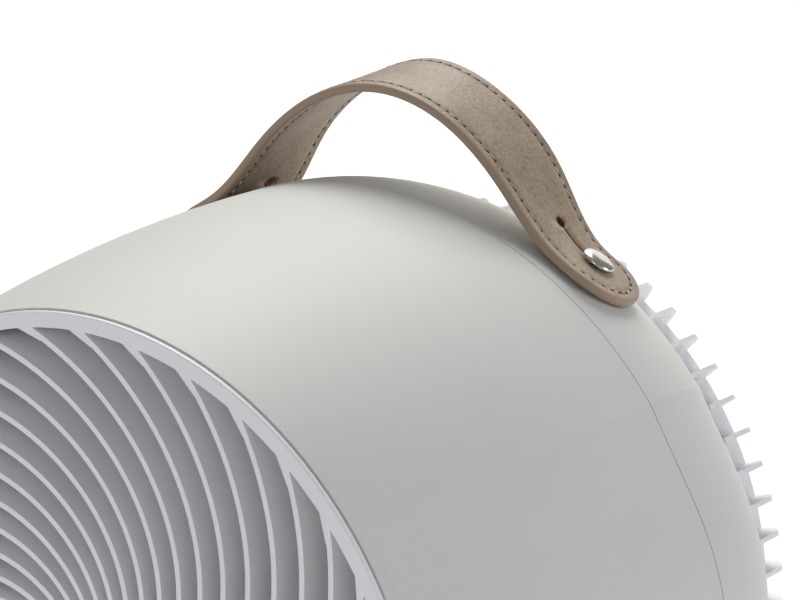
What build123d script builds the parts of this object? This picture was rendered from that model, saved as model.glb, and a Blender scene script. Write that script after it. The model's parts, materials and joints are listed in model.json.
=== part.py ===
from build123d import *
import os
from math import asin, cos, degrees, hypot, pi, radians, sin

# A small drum-shaped table fan with a leather carrying strap. All sizes are in millimetres.
# Pieces are drawn in the drum's own frame: the fan's axis is the Y axis, the front faces -Y,
# Z is up and y = 0 is the middle of the strap. place() then stands the fan on its feet.

# ---- driving dimensions -------------------------------------------------------------------
AXIS_HEIGHT = 134.0          # from the table to the fan's axis
FOOT_HEIGHT = 3.0            # rubber feet below the housing
WALL = 2.6                   # moulded wall
GAP = 0.3                    # clearance between neighbouring pieces

FRONT_Y, FRONT_RADIUS = -136.4, 103.6      # drum at the front ring
BULGE_Y, BULGE_RADIUS = -78.3, 113.0       # a point half way along the front shell
RIDGE_Y, RIDGE_RADIUS = -20.0, 115.9       # widest circle, where the two shells meet
SLOPE_Y, SLOPE_RADIUS = 2.0, 113.2         # a point half way down the rear shell
RIM_Y, RIM_RADIUS = 24.0, 102.2            # drum at the rear rim

SHOULDER_ANGLE = 53.2        # from the top, where the round drum meets the flat flank
FLANK_ANGLE = 30.0           # the flank's slope from upright
SIDE_BEND = 90.0             # bend from the flank to the upright side
SIDE_X = 118.5               # half width of the foot at the ridge
CORNER = 16.0                # bottom corners
FOOT_FRONT_Y = -133.0        # flat front face of the foot, behind the ring

RING_INNER = 99.3            # front ring's opening
VANE_COUNT = 36
VANE_WIDTH = 1.5
VANE_DEPTH = 20.0
VANE_TURN = 0.95             # degrees of turn for each millimetre inwards
VANE_START = 9.6             # first vane's angle from the top, at the ring
HUB_DISC = 23.0

FIN_COUNT = 64
FIN_WIDTH = 1.3
REAR_Y = 41.0                # rear face of the rear grille
FIN_CORNER = 4.5
CUP_RADIUS = 61.0            # rear hub cup
CUP_FLOOR_Y = 22.0
FLOOR_WALL = 2.5
GRILLE_SEAT_Y, GRILLE_SEAT_INNER, GRILLE_SEAT_OUTER = 17.0, 94.0, 107.0
GRILLE_HEAD_Y = 30.0
GRILLE_RING = 99.2

DUCT_RADIUS = 95.5
DUCT_WALL = 2.0
BLADE_COUNT = 5
BLADE_TIP = 91.0
BLADE_THICK = 2.2
IMPELLER_HUB = 28.0
IMPELLER_Y = -62.0
PIN_Y = -52.0
DUCT_FRONT_Y = FRONT_Y + VANE_DEPTH + 0.5
SHAFT_RADIUS = 4.0
RUNNING = 0.03               # radial clearance on the shaft

STATOR_RADIUS = 37.0
ROTOR_RADIUS = 21.0
AIR_GAP = 0.4
MOTOR_FRONT_Y = -36.0
STATOR_FRONT_Y, STATOR_REAR_Y = -20.0, 4.0
BUSH_RADIUS = 7.0

KNOB_RADIUS = 15.0
KNOB_FRONT_Y, KNOB_REAR_Y = 41.4, 53.0
COVER_Y = 38.5
SWITCH_FRONT_Y = 27.0
SWITCH_SHAFT = 3.0
TERMINAL_Z = -50.0
GLAND_Z, GLAND_RADIUS, GLAND_INNER_Y = -112.0, 6.0, 18.5
LEAD_Y, LEAD_RADIUS = 29.5, 2.0

BOSS_CIRCLE = 102.0          # the four housing screws
BOSS_ANGLES = (38.0, 142.0, 218.0, 322.0)
BOSS_RADIUS = 4.0
BOSS_HEAD_Y = 6.0
LUG_FRONT, LUG_REAR = -21.2, -18.8         # the duct's lugs, clamped between the posts
SCREW_RADIUS = 1.5
THROUGH_CIRCLE, THROUGH_ANGLES = 32.5, (45.0, 135.0, 225.0, 315.0)
MOUNT_CIRCLE, MOUNT_ANGLES = 30.0, (0.0, 90.0, 180.0, 270.0)
COVER_SCREW_CIRCLE, COVER_SCREW_ANGLES = 50.0, (0.0, 120.0, 240.0)
GRILLE_SCREW_CIRCLE = 96.4
GRILLE_SCREW_ANGLES = [side * 360 / FIN_COUNT * (k + 0.5) for k in (5, 15, 26) for side in (1, -1)]

STRAP_WIDTH = 30.0
STRAP_THICK = 2.6
STUD_X = 60.9                # stud's distance from the middle plane
STUD_HEAD, STUD_NECK = 4.9, 2.2
STRAP_TILT = -0.19           # the strap's end leans with the rear shell: radius change per millimetre
STRAP_END_RADIUS = 117.1     # outer face of the strap's end, at the middle of its width
STRAP_FRONT_HEIGHTS = (142.9, 137.4, 121.5)
STRAP_REAR_HEIGHTS = (146.0, 139.0, 120.2)
STRAP_XS = (0.0, 22.0, 42.0)
STRAP_END_ANGLES = (29.0, 35.0, 41.5)
STRAP_STEPS = 16
STUD_HEAD_LOW = 3.9          # underside of the stud's head above the drum

FOOT_PADS = ((-86.0, -113.0), (86.0, -113.0), (-84.0, 4.0), (84.0, 4.0))
HATCH = (-64.0, 64.0, -104.0, 2.0)         # opening in the underside: x from, to, y from, to
HATCH_SCREWS = ((-59.0, -99.0), (59.0, -99.0), (-59.0, -3.0), (59.0, -3.0))


# ---- the drum's outline -------------------------------------------------------------------
def circle_through(a, b, c):
    """Centre and radius of the circle through three (y, r) points."""
    d = 2 * (a[0] * (b[1] - c[1]) + b[0] * (c[1] - a[1]) + c[0] * (a[1] - b[1]))
    squares = [p[0] ** 2 + p[1] ** 2 for p in (a, b, c)]
    y = (squares[0] * (b[1] - c[1]) + squares[1] * (c[1] - a[1]) + squares[2] * (a[1] - b[1])) / d
    r = (squares[0] * (c[0] - b[0]) + squares[1] * (a[0] - c[0]) + squares[2] * (b[0] - a[0])) / d
    return y, r, hypot(a[0] - y, a[1] - r)


FRONT_ARC = ((FRONT_Y, FRONT_RADIUS), (BULGE_Y, BULGE_RADIUS), (RIDGE_Y, RIDGE_RADIUS))
REAR_ARC = ((RIDGE_Y, RIDGE_RADIUS), (SLOPE_Y, SLOPE_RADIUS), (RIM_Y, RIM_RADIUS))


def drum_radius(y):
    """Outer radius of the drum at y."""
    centre_y, centre_r, size = circle_through(*(FRONT_ARC if y <= RIDGE_Y else REAR_ARC))
    return centre_r + (size ** 2 - (y - centre_y) ** 2) ** 0.5


# ---- general shapes -----------------------------------------------------------------------
def tube(y_from, y_to, outer, inner=0.0, at=(0.0, 0.0)):
    """Cylinder or tube along Y, centred on at = (x, z)."""
    place_it = Pos(at[0], (y_from + y_to) / 2, at[1]) * Rot(90, 0, 0)
    body = place_it * Cylinder(outer, y_to - y_from)
    if inner:
        body -= place_it * Cylinder(inner, y_to - y_from + 1)
    return body


def block(x_from, x_to, y_from, y_to, z_from, z_to):
    """Box between two corners."""
    centre = Pos((x_from + x_to) / 2, (y_from + y_to) / 2, (z_from + z_to) / 2)
    return centre * Box(x_to - x_from, y_to - y_from, z_to - z_from)


def around(angle, shape):
    """Turn a shape about the fan's axis by an angle measured from the top."""
    return Rot(0, angle, 0) * shape


def polar(radius, angle):
    """(x, z) of a point at a radius and an angle from the top."""
    return radius * sin(radians(angle)), radius * cos(radians(angle))


def screw(y_head, y_tip, radius, head_radius, head_height, at):
    """Pan-head screw along Y, with its head at y_head and a cross recess."""
    way = 1 if y_tip > y_head else -1
    head_top = y_head - way * head_height
    low, high = sorted((y_head, head_top))
    shank_low, shank_high = sorted((y_head, y_tip))
    body = tube(shank_low, shank_high, radius, at=at) + tube(low, high, head_radius, at=at)
    slot_low, slot_high = sorted((head_top, head_top + way * head_height * 0.6))
    for wide, tall in ((head_radius, 0.7), (0.7, head_radius)):
        body -= block(at[0] - wide / 2, at[0] + wide / 2, slot_low, slot_high,
                      at[1] - tall / 2, at[1] + tall / 2)
    return body


# ---- housing ------------------------------------------------------------------------------
def drum_profile(arc, inset, y_front, y_rear):
    """Face between the axis and one of the drum's two arcs, with its straight ends."""
    a, b, c = [Vector(0, y, r - inset) for y, r in arc]
    corners = [c, Vector(0, y_rear, c.Z), Vector(0, y_rear, 0),
               Vector(0, y_front, 0), Vector(0, y_front, a.Z), a]
    sides = [Line(p, q) for p, q in zip(corners, corners[1:]) if (p - q).length > 1e-6]
    return make_face([ThreePointArc(a, b, c)] + sides)


def drum_solid(arc, inset=0.0, y_front=None, y_rear=None, angle=360.0):
    """One shell's round part, filled to the axis; an angle under 360 keeps only the top of it."""
    y_front = arc[0][0] if y_front is None else y_front
    y_rear = arc[2][0] if y_rear is None else y_rear
    face = drum_profile(arc, inset, y_front, y_rear)
    start = Rot(0, -angle / 2, 0) * face if angle < 360 else face
    return revolve(start, Axis((0, 0, 0), (0, 1, 0)), angle)


def flank_edges(side, y, inset, floor_z):
    """One side of the lower outline, from the axis down to the middle of the underside."""
    scale = (drum_radius(y) - inset) / RIDGE_RADIUS
    side_x = SIDE_X * scale
    bend = SIDE_BEND * scale
    shoulder = polar(RIDGE_RADIUS * scale, SHOULDER_ANGLE)
    bend_x = side_x - bend
    flank_end_x = bend_x + bend * cos(radians(FLANK_ANGLE))
    fall = (flank_end_x - shoulder[0]) / sin(radians(FLANK_ANGLE)) * cos(radians(FLANK_ANGLE))
    bend_z = shoulder[1] - fall - bend * sin(radians(FLANK_ANGLE))
    corner = CORNER - inset

    def at(x, z):
        return Vector(side * x, y, z)

    def on_bend(angle):
        return at(bend_x + bend * cos(radians(angle)), bend_z + bend * sin(radians(angle)))

    def on_corner(angle):
        return at(side_x - corner + corner * cos(radians(angle)),
                  floor_z + corner - corner * sin(radians(angle)))

    return [Line((0, y, 0), at(*shoulder)), Line(at(*shoulder), on_bend(FLANK_ANGLE)),
            ThreePointArc(on_bend(FLANK_ANGLE), on_bend(FLANK_ANGLE / 2), on_bend(0)),
            Line(on_bend(0), on_corner(0)), ThreePointArc(on_corner(0), on_corner(45), on_corner(90)),
            Line(on_corner(90), (0, y, floor_z))]


def lower_wire(y, inset=0.0, floor_lift=0.0):
    """Closed outline across the axis of everything below the two shoulder lines."""
    floor_z = FOOT_HEIGHT - AXIS_HEIGHT + floor_lift
    return Wire(flank_edges(1, y, inset, floor_z) + flank_edges(-1, y, inset, floor_z))


def lower_solid(stations, inset=0.0, floor_lift=0.0):
    """Foot and flanks, through outlines at several stations along the axis."""
    wires = [lower_wire(y, inset, floor_lift) for y in stations]
    return Solid.make_loft(wires)


FRONT_STATIONS = (FOOT_FRONT_Y, -105.0, -77.0, -48.0, RIDGE_Y)
REAR_STATIONS = (RIDGE_Y, -5.0, 10.0, RIM_Y)


def housing_outside():
    """Both shells' outer form, filled."""
    top = 2 * SHOULDER_ANGLE
    seat_y = FRONT_Y + 1.7
    front = drum_solid(FRONT_ARC, angle=top) + lower_solid(FRONT_STATIONS)
    front += drum_solid(FRONT_ARC) & block(-130, 130, FRONT_Y, FOOT_FRONT_Y + 1, -130, 130)
    front -= block(-130, 130, FRONT_Y - 1, seat_y, -130, 130)
    rear = drum_solid(REAR_ARC, angle=top) + lower_solid(REAR_STATIONS)
    return front + rear


def housing_inside():
    """The hollow that both shells leave."""
    front = drum_solid(FRONT_ARC, WALL, y_front=FRONT_Y - 5)
    rear = drum_solid(REAR_ARC, WALL, y_rear=RIM_Y + 5)
    stations = (FOOT_FRONT_Y + WALL, -105.0, -77.0, -48.0, RIDGE_Y)
    low_front = lower_solid(stations, WALL, WALL)
    low_rear = lower_solid((RIDGE_Y, -5.0, 10.0, RIM_Y - WALL), WALL, WALL)
    return front + rear + low_front + low_rear


def boss_web(angle, y_from, y_rear):
    """Rib that ties a screw boss to the nearest wall."""
    x, z = polar(BOSS_CIRCLE, angle)
    if z > 0:
        return around(angle, block(-1.5, 1.5, y_from, y_rear, BOSS_CIRCLE, BOSS_CIRCLE + 12))
    return block(x - 1.5, x + 1.5, y_from, y_rear, -AXIS_HEIGHT, z)


def housing_bosses():
    """Screw posts in both shells; the air duct's lugs are clamped between them."""
    shape = None
    for angle in BOSS_ANGLES:
        at = polar(BOSS_CIRCLE, angle)
        for y_from, y_rear in ((-45.0, LUG_FRONT - 0.2), (LUG_REAR + 0.2, BOSS_HEAD_Y)):
            post = tube(y_from, y_rear, BOSS_RADIUS, at=at) + boss_web(angle, y_from, y_rear)
            shape = post if shape is None else shape + post
    return shape


def hatch_block(margin, z_from, z_to):
    """The underside hatch grown by a margin."""
    x_from, x_to, y_from, y_to = HATCH
    return block(x_from - margin, x_to + margin, y_from - margin, y_to + margin, z_from, z_to)


def stud_plane(side):
    """Frame on the drum at one stud: its Z axis leaves the drum square to the strap's end."""
    base = drum_radius(0)
    angle = degrees(asin(STUD_X / base))
    x, z = polar(base, angle)
    return Plane(origin=(side * x, 0, z), z_dir=(side * x / base, -STRAP_TILT, z / base))


def stud_cylinder(side, low, high, radius):
    """Cylinder on a stud's axis, between two heights above the drum."""
    return stud_plane(side) * Pos(0, 0, (low + high) / 2) * Cylinder(radius, high - low)


def housing_whole():
    """Both shells with their bosses, seats and holes, before they are parted."""
    outside = housing_outside()
    floor_top = FOOT_HEIGHT - AXIS_HEIGHT + WALL
    seat = tube(GRILLE_SEAT_Y - 2.5, GRILLE_SEAT_Y, GRILLE_SEAT_OUTER, GRILLE_SEAT_INNER)
    for angle in GRILLE_SCREW_ANGLES:
        seat += tube(GRILLE_SEAT_Y - 12, GRILLE_SEAT_Y - 1, 3.2, at=polar(GRILLE_SCREW_CIRCLE, angle))
    for angle in BOSS_ANGLES:
        seat -= tube(BOSS_HEAD_Y + 1, RIM_Y, 3.2, at=polar(BOSS_CIRCLE, angle))
    ledge = hatch_block(5, floor_top, floor_top + 2.4) - hatch_block(-9, floor_top - 1, floor_top + 3)
    inner = housing_bosses() + seat + ledge
    for side in (-1, 1):
        inner += stud_cylinder(side, -6, -1, 6)
    body = (outside - housing_inside()) + (inner & outside)
    body -= hatch_block(0, floor_top - WALL - 1, floor_top)
    for x, y in HATCH_SCREWS:
        body -= Pos(x, y, floor_top + 1.2) * Cylinder(SCREW_RADIUS + 0.05, 4)
    for x, y in FOOT_PADS:
        body -= Pos(x, y, floor_top - WALL + 1) * Cylinder(2.9, 2)
    for angle in BOSS_ANGLES:
        at = polar(BOSS_CIRCLE, angle)
        body -= tube(-42, RIDGE_Y, SCREW_RADIUS + 0.05, at=at)
        body -= tube(RIDGE_Y, BOSS_HEAD_Y + 1, SCREW_RADIUS + 0.2, at=at)
    for angle in GRILLE_SCREW_ANGLES:
        body -= tube(GRILLE_SEAT_Y - 11, GRILLE_SEAT_Y + 1, SCREW_RADIUS + 0.05,
                     at=polar(GRILLE_SCREW_CIRCLE, angle))
    for side in (-1, 1):
        body -= stud_cylinder(side, -7, 3, STUD_NECK + 0.2)
    body -= tube(RIM_Y - WALL - 1, RIM_Y + 1, GLAND_RADIUS + 0.2, at=(0, GLAND_Z))
    return body


def joint_lip():
    """Tongue of the rear shell that laps inside the front shell and closes the joint."""
    def ring(inset):
        low = extrude(make_face(lower_wire(RIDGE_Y, inset, inset).edges()), 6, dir=(0, -1, 0))
        return low + tube(RIDGE_Y - 6, RIDGE_Y, RIDGE_RADIUS - inset)
    lip = ring(WALL + 0.2) - ring(WALL + 1.4)
    for angle in BOSS_ANGLES:
        x, z = polar(BOSS_CIRCLE, angle)
        y_from, y_to = RIDGE_Y - 9, RIDGE_Y - 0.3
        if z > 0:
            lip -= around(angle, block(-3, 3, y_from, y_to, BOSS_CIRCLE, BOSS_CIRCLE + 14))
        else:
            lip -= block(x - 3, x + 3, y_from, y_to, -AXIS_HEIGHT, z)
    floor_top = FOOT_HEIGHT - AXIS_HEIGHT + WALL
    return lip - hatch_block(6, floor_top - 1, floor_top + 4)


def front_housing(whole):
    """Front shell: the barrel from the ring to the ridge, with the front of the foot."""
    return whole & block(-140, 140, -150, RIDGE_Y - GAP / 2, -140, 140)


def rear_housing(whole):
    """Rear shell: from the ridge to the rim, with the back of the foot."""
    body = whole & block(-140, 140, RIDGE_Y + GAP / 2, 60, -140, 140)
    tie = joint_lip()
    root = (tie & block(-140, 140, RIDGE_Y - 2, RIDGE_Y, -140, 140)).moved(Location((0, 2, 0)))
    return body + tie + root


def base_cover():
    """Hatch plate in the underside, with sunk screw holes."""
    low = FOOT_HEIGHT - AXIS_HEIGHT
    plate = hatch_block(-GAP, low, low + 2.4)
    for x, y in HATCH_SCREWS:
        plate -= Pos(x, y, low + 1) * Cylinder(SCREW_RADIUS + 0.2, 4)
        plate -= Pos(x, y, low) * Cylinder(3.1, 2.6)
    for offset in (-24, -12, 0, 12, 24):
        plate -= block(-30, 30, offset - 52.5, offset - 49.5, low - 1, low + 0.8)
    return plate


def upright(x, y, z, shape):
    """Stand a shape drawn along +Y on end at a point, pointing up."""
    return Pos(x, y, z) * Rot(90, 0, 0) * shape


def base_screws():
    """Four screws that hold the hatch plate."""
    low = FOOT_HEIGHT - AXIS_HEIGHT
    return [upright(x, y, low + 1.3, screw(0, 5.0, SCREW_RADIUS, 2.8, 1.2, (0, 0))) for x, y in HATCH_SCREWS]


def rubber_feet():
    """Four round pads with pegs pushed into the housing's underside."""
    feet = []
    for x, y in FOOT_PADS:
        pad = Pos(x, y, FOOT_HEIGHT / 2 - AXIS_HEIGHT) * Cylinder(8.5, FOOT_HEIGHT)
        pad = chamfer(pad.edges().sort_by(Axis.Z)[0], 0.8)
        feet.append(pad + Pos(x, y, FOOT_HEIGHT - AXIS_HEIGHT + 0.9) * Cylinder(2.8, 1.8))
    return feet


# ---- front grille and duct ----------------------------------------------------------------
def vane_outline():
    """One spiral vane as a flat face, seen from the front with the ring's centre at the origin."""
    def on_spiral(radius, side):
        angle = radians(VANE_START + VANE_TURN * (RING_INNER - radius))
        out = Vector(sin(angle), cos(angle), 0)
        round_way = Vector(cos(angle), -sin(angle), 0)
        along = (out * -1 + round_way * (radius * radians(VANE_TURN))).normalized()
        across = Vector(along.Y, -along.X, 0)
        return out * radius + across * (side * VANE_WIDTH / 2)

    first = RING_INNER + 0.8
    steps = [first - k * (first - HUB_DISC + 2) / 8 for k in range(9)]
    left = [on_spiral(radius, 1) for radius in steps]
    right = [on_spiral(radius, -1) for radius in reversed(steps)]
    return make_face([Spline(*left), Line(left[-1], right[0]), Spline(*right), Line(right[-1], left[0])])


def vane_gusset():
    """Small flare where a vane joins the ring, on the vane's obtuse side."""
    def at(radius, turn):
        angle = radians(VANE_START + turn)
        return (radius * sin(angle), radius * cos(angle))
    return make_face(Polyline(at(RING_INNER + 0.6, -2.6), at(RING_INNER + 0.6, 0.6),
                              at(RING_INNER - 3.4, 3.0), at(RING_INNER - 3.4, 2.2), close=True))


def front_grille():
    """Front ring with its spiral vanes and the plain disc they end on."""
    flat = Sketch() + (Circle(RING_INNER + 1.5) - Circle(RING_INNER)) + Circle(HUB_DISC)
    vane = vane_outline() + vane_gusset()
    flat += [Rot(0, 0, -k * 360 / VANE_COUNT) * vane for k in range(VANE_COUNT)]
    deep = Pos(0, FRONT_Y, 0) * Rot(90, 0, 0) * extrude(flat, -VANE_DEPTH)
    rim = tube(FRONT_Y, FRONT_Y + 1.4, FRONT_RADIUS - 0.2, RING_INNER)
    rim = fillet(rim.edges().filter_by(GeomType.CIRCLE).sort_by(Axis.Y)[0:1], 0.4)
    return deep + rim


def air_duct():
    """Tube that guides the air past the blades, with a front flange and four clamped lugs."""
    duct = tube(DUCT_FRONT_Y, 2.0, DUCT_RADIUS + DUCT_WALL, DUCT_RADIUS)
    duct += tube(DUCT_FRONT_Y, DUCT_FRONT_Y + 2, FRONT_RADIUS - WALL - 0.3, DUCT_RADIUS)
    for angle in BOSS_ANGLES:
        lug = block(-4.5, 4.5, LUG_FRONT, LUG_REAR, DUCT_RADIUS + 1, BOSS_CIRCLE)
        lug += tube(LUG_FRONT, LUG_REAR, 4.5, at=(0, BOSS_CIRCLE))
        lug -= tube(LUG_FRONT - 1, LUG_REAR + 1, SCREW_RADIUS + 0.2, at=(0, BOSS_CIRCLE))
        duct += around(angle, lug)
    return duct


def housing_screws():
    """Four long screws from the rear, through the rear shell and the duct's lugs into the front."""
    return [screw(BOSS_HEAD_Y, -38, SCREW_RADIUS, 2.9, 2.0, polar(BOSS_CIRCLE, angle))
            for angle in BOSS_ANGLES]


# ---- rear grille and its hub --------------------------------------------------------------
def fin():
    """One radial fin at the top: a tall outer part round the rim's corner and a shallow inner part."""
    y_low, y_in = RIM_Y + 0.4, REAR_Y - 6
    top = RIM_RADIUS - 0.2
    c = FIN_CORNER
    bend = c * (1 - cos(pi / 4))
    edges = [Line((0, y_low, top), (0, REAR_Y - c, top)),
             ThreePointArc((0, REAR_Y - c, top), (0, REAR_Y - bend, top - bend), (0, REAR_Y, top - c)),
             Line((0, REAR_Y, top - c), (0, REAR_Y, CUP_RADIUS - 1)),
             Line((0, REAR_Y, CUP_RADIUS - 1), (0, y_in, CUP_RADIUS - 1)),
             Line((0, y_in, CUP_RADIUS - 1), (0, y_in, 94)),
             Line((0, y_in, 94), (0, y_low, GRILLE_RING - 1.4)),
             Line((0, y_low, GRILLE_RING - 1.4), (0, y_low, top))]
    return extrude(make_face(edges), FIN_WIDTH / 2, both=True)


def cable_way():
    """Hollow spoke at the bottom that carries the supply lead to the hub cup."""
    spoke = block(-5, 5, RIM_Y + 0.4, REAR_Y - 4, -GRILLE_RING, -CUP_RADIUS + 1)
    return spoke, (block(-3, 3, LEAD_Y - 3.4, LEAD_Y + 3.6, -93, -CUP_RADIUS + 4),
                   block(-3, 3, RIM_Y, LEAD_Y, -92.5, -83.5))


def rear_grille():
    """Ring of fins that wraps the rear corner, with stiffening rings and the hub cup."""
    body = tube(GRILLE_SEAT_Y + 0.2, RIM_Y + 2, GRILLE_RING, GRILLE_RING - 1.6)
    body += tube(REAR_Y - 7, REAR_Y - 0.6, 95, 93.4) + tube(REAR_Y - 5, REAR_Y - 0.6, 78, 76.4)
    body += tube(CUP_FLOOR_Y, REAR_Y, CUP_RADIUS, CUP_RADIUS - 2)
    body += tube(CUP_FLOOR_Y, CUP_FLOOR_Y + FLOOR_WALL, CUP_RADIUS)
    spoke, hollows = cable_way()
    body += [around(k * 360 / FIN_COUNT, fin()) for k in range(FIN_COUNT)]
    body += spoke
    for angle in GRILLE_SCREW_ANGLES:
        body += tube(GRILLE_SEAT_Y + 0.2, GRILLE_HEAD_Y, 3.2, at=polar(GRILLE_SCREW_CIRCLE, angle))
    for angle in COVER_SCREW_ANGLES:
        body += tube(CUP_FLOOR_Y + 1, COVER_Y - 0.2, 3.6, at=polar(COVER_SCREW_CIRCLE, angle))
    for hollow in hollows:
        body -= hollow
    for angle in GRILLE_SCREW_ANGLES:
        body -= tube(GRILLE_SEAT_Y, GRILLE_HEAD_Y + 1, SCREW_RADIUS + 0.2, at=polar(GRILLE_SCREW_CIRCLE, angle))
    for angle in COVER_SCREW_ANGLES:
        body -= tube(CUP_FLOOR_Y + 3, COVER_Y, SCREW_RADIUS + 0.05, at=polar(COVER_SCREW_CIRCLE, angle))
    for angle in MOUNT_ANGLES:
        body -= tube(CUP_FLOOR_Y - 1, CUP_FLOOR_Y + 4, SCREW_RADIUS + 0.2, at=polar(MOUNT_CIRCLE, angle))
    return body


def grille_screws():
    """Six screws between the fins that hold the rear grille on its seat."""
    return [screw(GRILLE_HEAD_Y, GRILLE_SEAT_Y - 9, SCREW_RADIUS, 2.8, 1.8, polar(GRILLE_SCREW_CIRCLE, a))
            for a in GRILLE_SCREW_ANGLES]


def hub_cover():
    """Round lid of the hub cup, with the knob's shallow well and the switch shaft's hole."""
    lid = tube(COVER_Y, REAR_Y, CUP_RADIUS - 2 - GAP)
    lid = fillet(lid.edges().filter_by(GeomType.CIRCLE).sort_by(Axis.Y)[-1:], 1.0)
    lid -= tube(REAR_Y - 0.8, REAR_Y + 1, KNOB_RADIUS + 1.5)
    lid -= tube(COVER_Y - 1, REAR_Y + 1, SWITCH_SHAFT + 0.2)
    for angle in COVER_SCREW_ANGLES:
        at = polar(COVER_SCREW_CIRCLE, angle)
        lid -= tube(COVER_Y - 1, REAR_Y + 1, SCREW_RADIUS + 0.2, at=at)
        lid -= tube(REAR_Y - 1.3, REAR_Y + 1, 3.2, at=at)
    return lid


def cover_screws():
    """Three screws that hold the hub cover."""
    return [screw(REAR_Y - 1.3, CUP_FLOOR_Y + 6, SCREW_RADIUS, 2.8, 1.2, polar(COVER_SCREW_CIRCLE, a))
            for a in COVER_SCREW_ANGLES]


def speed_knob():
    """Knob with a finger bar and a pointer notch."""
    knob = tube(KNOB_FRONT_Y, KNOB_REAR_Y, KNOB_RADIUS)
    knob = fillet(knob.edges().filter_by(GeomType.CIRCLE).sort_by(Axis.Y)[-1:], 1.6)
    for side in (-1, 1):
        cut = block(4, 20, KNOB_FRONT_Y + 4, KNOB_REAR_Y + 1, -20, 20)
        knob -= cut if side > 0 else mirror(cut, Plane.YZ)
    knob -= block(-0.6, 0.6, KNOB_REAR_Y - 0.8, KNOB_REAR_Y + 1, 5, 20)
    return knob - tube(KNOB_FRONT_Y - 1, KNOB_REAR_Y - 3, SWITCH_SHAFT)


def switch_shaft():
    """Spindle that the knob turns."""
    return tube(SWITCH_FRONT_Y + 3.2, KNOB_REAR_Y - 3.2, SWITCH_SHAFT - RUNNING)


def rotary_switch():
    """Four-position switch behind the hub cover, with its terminals."""
    body = block(-13, 13, SWITCH_FRONT_Y, COVER_Y - 0.1, -13, 13)
    body = fillet(body.edges().filter_by(Axis.Y), 2)
    for x in (-8, 0, 8):
        body += block(x - 0.4, x + 0.4, SWITCH_FRONT_Y - 1.8, SWITCH_FRONT_Y + 1, -10, -4)
    return body - tube(SWITCH_FRONT_Y + 3, COVER_Y, SWITCH_SHAFT)


def run_capacitor():
    """Motor capacitor, a potted box on the cup's floor."""
    floor = CUP_FLOOR_Y + FLOOR_WALL
    body = block(-46, -19, floor, floor + 12, 10, 30)
    return fillet(body.edges().filter_by(Axis.Y), 2)


def terminal_block():
    """Three-way terminal block that the supply lead ends in."""
    floor = CUP_FLOOR_Y + FLOOR_WALL
    body = block(-12, 12, floor, floor + 11, TERMINAL_Z, TERMINAL_Z + 11)
    for x in (-7.5, 0, 7.5):
        body -= tube(floor + 6, floor + 12, 2.2, at=(x, TERMINAL_Z + 5.5))
    return body


def supply_lead():
    """Inner lead from the cord gland, up behind the duct and through the hollow spoke."""
    route = [(0, GLAND_INNER_Y, GLAND_Z), (0, 8, GLAND_Z), (0, 8, -88), (0, LEAD_Y, -88), (0, LEAD_Y, TERMINAL_Z)]
    path = FilletPolyline(*route, radius=5)
    return sweep(Plane(route[0], z_dir=(0, -1, 0)) * Circle(LEAD_RADIUS), path)


def cord_gland():
    """Bush in the foot's rear wall for the mains cord, with its inner collar."""
    bush = tube(GLAND_INNER_Y, RIM_Y + 2, GLAND_RADIUS, at=(0, GLAND_Z))
    bush += tube(RIM_Y + 0.1, RIM_Y + 2.6, GLAND_RADIUS + 3, at=(0, GLAND_Z))
    bush += tube(GLAND_INNER_Y, RIM_Y - WALL - 0.2, GLAND_RADIUS + 2, at=(0, GLAND_Z))
    return bush - tube(GLAND_INNER_Y + 2, RIM_Y + 4, 3.4, at=(0, GLAND_Z))


# ---- motor and impeller -------------------------------------------------------------------
def motor_front_bell():
    """Front end cup of the motor with the front bush's pocket."""
    y = MOTOR_FRONT_Y
    bell = tube(y, STATOR_FRONT_Y, STATOR_RADIUS, STATOR_RADIUS - 2) + tube(y, y + 2, STATOR_RADIUS)
    bell += tube(y + 2, y + 9.5, BUSH_RADIUS + 2)
    bell -= tube(y + 2, y + 12, BUSH_RADIUS) + tube(y - 1, y + 3, SHAFT_RADIUS + 0.6)
    for angle in THROUGH_ANGLES:
        bell -= tube(y - 1, y + 3, SCREW_RADIUS + 0.1, at=polar(THROUGH_CIRCLE, angle))
    for k in range(8):
        bell -= around(22.5 + k * 45, block(-2, 2, y - 1, y + 3, 14, 26))
    return bell


def motor_rear_bell():
    """Rear end cup of the motor, screwed to the hub cup's floor."""
    y = CUP_FLOOR_Y
    bell = tube(STATOR_REAR_Y, y, STATOR_RADIUS, STATOR_RADIUS - 2) + tube(y - 2, y, STATOR_RADIUS)
    bell += tube(y - 9.5, y - 2, BUSH_RADIUS + 2)
    for angle in MOUNT_ANGLES:
        bell += tube(y - 10, y - 1, 3.4, at=polar(MOUNT_CIRCLE, angle))
    for angle in THROUGH_ANGLES:
        bell += tube(y - 10, y - 1, 2.6, at=polar(THROUGH_CIRCLE, angle))
    bell -= tube(y - 12, y - 2, BUSH_RADIUS)
    for angle in MOUNT_ANGLES:
        bell -= tube(y - 9, y + 1, SCREW_RADIUS + 0.05, at=polar(MOUNT_CIRCLE, angle))
    for angle in THROUGH_ANGLES:
        bell -= tube(y - 11, y - 3, SCREW_RADIUS + 0.05, at=polar(THROUGH_CIRCLE, angle))
    return bell


def stator_core():
    """Laminated stack with twelve slots round the rotor."""
    core = tube(STATOR_FRONT_Y, STATOR_REAR_Y, STATOR_RADIUS, ROTOR_RADIUS + AIR_GAP)
    for k in range(12):
        core -= around(k * 30, block(-2.6, 2.6, STATOR_FRONT_Y - 1, STATOR_REAR_Y + 1, 23, 29))
        core -= around(k * 30, block(-0.8, 0.8, STATOR_FRONT_Y - 1, STATOR_REAR_Y + 1, 19, 24))
    for angle in THROUGH_ANGLES:
        core -= tube(STATOR_FRONT_Y - 1, STATOR_REAR_Y + 1, SCREW_RADIUS + 0.1,
                     at=polar(THROUGH_CIRCLE, angle))
    return core


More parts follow.
